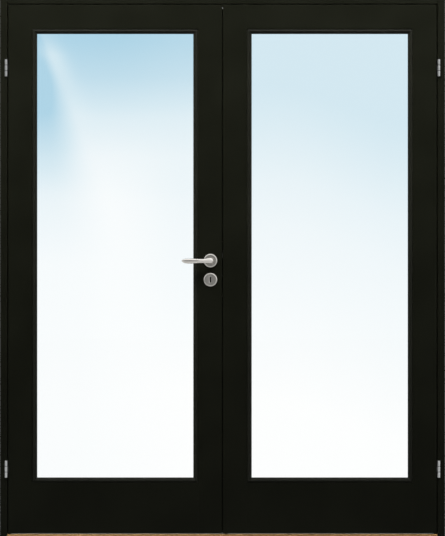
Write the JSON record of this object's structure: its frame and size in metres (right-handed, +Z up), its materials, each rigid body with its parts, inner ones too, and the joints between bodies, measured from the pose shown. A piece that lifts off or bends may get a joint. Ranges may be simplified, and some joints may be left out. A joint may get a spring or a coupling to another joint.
{
  "type": "french doors",
  "caption": "Pair of fully glazed black timber doors in their rebated frame, with oak threshold, hinges, lever lock and flush bolts.",
  "frame": {"origin": "on the floor, midway between the jambs and midway through the frame's depth, on the threshold's underside", "axes": "+X to the right as seen from the room that the leaves open into, +Y from that room to the other side, +Z up"},
  "size_m": [1.719, 0.158, 2.09],
  "materials": {
    "frame_paint": "satin black paint on timber",
    "leaf_paint": "satin black paint on timber",
    "bead_paint": "satin black paint on timber",
    "oak": "clear satin lacquer on oak",
    "pane_glass": "clear",
    "seal_rubber": "matte",
    "strip_foam": "matte",
    "block_plastic": "matte",
    "hinge_steel": "satin",
    "plate_steel": "satin",
    "bolt_steel": "satin",
    "lock_steel": "zinc coated",
    "spring_steel": "bright",
    "lever_metal": "satin nickel",
    "rose_metal": "satin nickel"
  },
  "bodies": {
    "frame": {"jamb_left": "frame_paint", "jamb_right": "frame_paint", "head": "frame_paint", "threshold": "oak", "frame_seals": "seal_rubber", "bolt_keeps": "plate_steel", "left_upper_hinge_frame_plate": "hinge_steel", "left_lower_hinge_frame_plate": "hinge_steel", "right_upper_hinge_frame_plate": "hinge_steel", "right_lower_hinge_frame_plate": "hinge_steel"},
    "active_leaf": {"active_hinge_stile": "leaf_paint", "active_lock_stile": "leaf_paint", "active_top_rail": "leaf_paint", "active_bottom_rail": "leaf_paint", "active_glass": "pane_glass", "active_glazing_strips": "strip_foam", "active_setting_blocks": "block_plastic", "active_front_beads": "bead_paint", "active_back_beads": "bead_paint", "left_upper_hinge_leaf_plate": "hinge_steel", "left_lower_hinge_leaf_plate": "hinge_steel", "lock_case": "lock_steel", "lock_cover": "lock_steel", "lock_forend": "plate_steel", "latch_spring": "spring_steel", "roses": "rose_metal"},
    "inactive_leaf": {"inactive_hinge_stile": "leaf_paint", "inactive_meeting_stile": "leaf_paint", "inactive_top_rail": "leaf_paint", "inactive_bottom_rail": "leaf_paint", "inactive_glass": "pane_glass", "inactive_glazing_strips": "strip_foam", "inactive_setting_blocks": "block_plastic", "inactive_front_beads": "bead_paint", "inactive_back_beads": "bead_paint", "right_upper_hinge_leaf_plate": "hinge_steel", "right_lower_hinge_leaf_plate": "hinge_steel", "strike_plate": "plate_steel", "meeting_stop": "leaf_paint", "meeting_seal": "seal_rubber", "upper_bolt_plate": "plate_steel", "lower_bolt_plate": "plate_steel"},
    "lever_set": {"front_lever": "lever_metal", "back_lever": "lever_metal", "spindle": "lock_steel", "follower": "lock_steel"},
    "latch": {"latch_bolt": "bolt_steel"},
    "key_bolt": {"dead_bolt": "bolt_steel"},
    "upper_flush": {"upper_flush_bolt": "bolt_steel"},
    "lower_flush": {"lower_flush_bolt": "bolt_steel"}
  },
  "joints": [
    {"name": "active_leaf_swing", "type": "hinge", "parent": "frame", "child": "active_leaf", "pos_m": [-0.8347, -0.0515, 1.8135], "axis": [0, 0, -1], "range_deg": [0, 165]},
    {"name": "inactive_leaf_swing", "type": "hinge", "parent": "frame", "child": "inactive_leaf", "pos_m": [0.8347, -0.0515, 1.8135], "axis": [0, 0, 1], "range_deg": [0, 165]},
    {"name": "lever_turn", "type": "hinge", "parent": "active_leaf", "child": "lever_set", "pos_m": [-0.0465, -0.026, 1.07], "axis": [0, -1, 0], "range_deg": [0, 45], "stiffness_Nm_per_rad": 0.9, "springref_deg": -34.38},
    {"name": "latch_slide", "type": "slide", "parent": "active_leaf", "child": "latch", "axis": [-1, 0, 0], "range_m": [0, 0.012], "deforming": ["latch_spring"]},
    {"name": "key_bolt_slide", "type": "slide", "parent": "active_leaf", "child": "key_bolt", "axis": [1, 0, 0], "range_m": [0, 0.014]},
    {"name": "upper_flush_slide", "type": "slide", "parent": "inactive_leaf", "child": "upper_flush", "axis": [0, 0, -1], "range_m": [0, 0.016]},
    {"name": "lower_flush_slide", "type": "slide", "parent": "inactive_leaf", "child": "lower_flush", "axis": [0, 0, 1], "range_m": [0, 0.016]}
  ],
  "couplings": [
    {"joint": "latch_slide", "follows": "lever_turn", "m_per_rad": 0.01527}
  ]
}
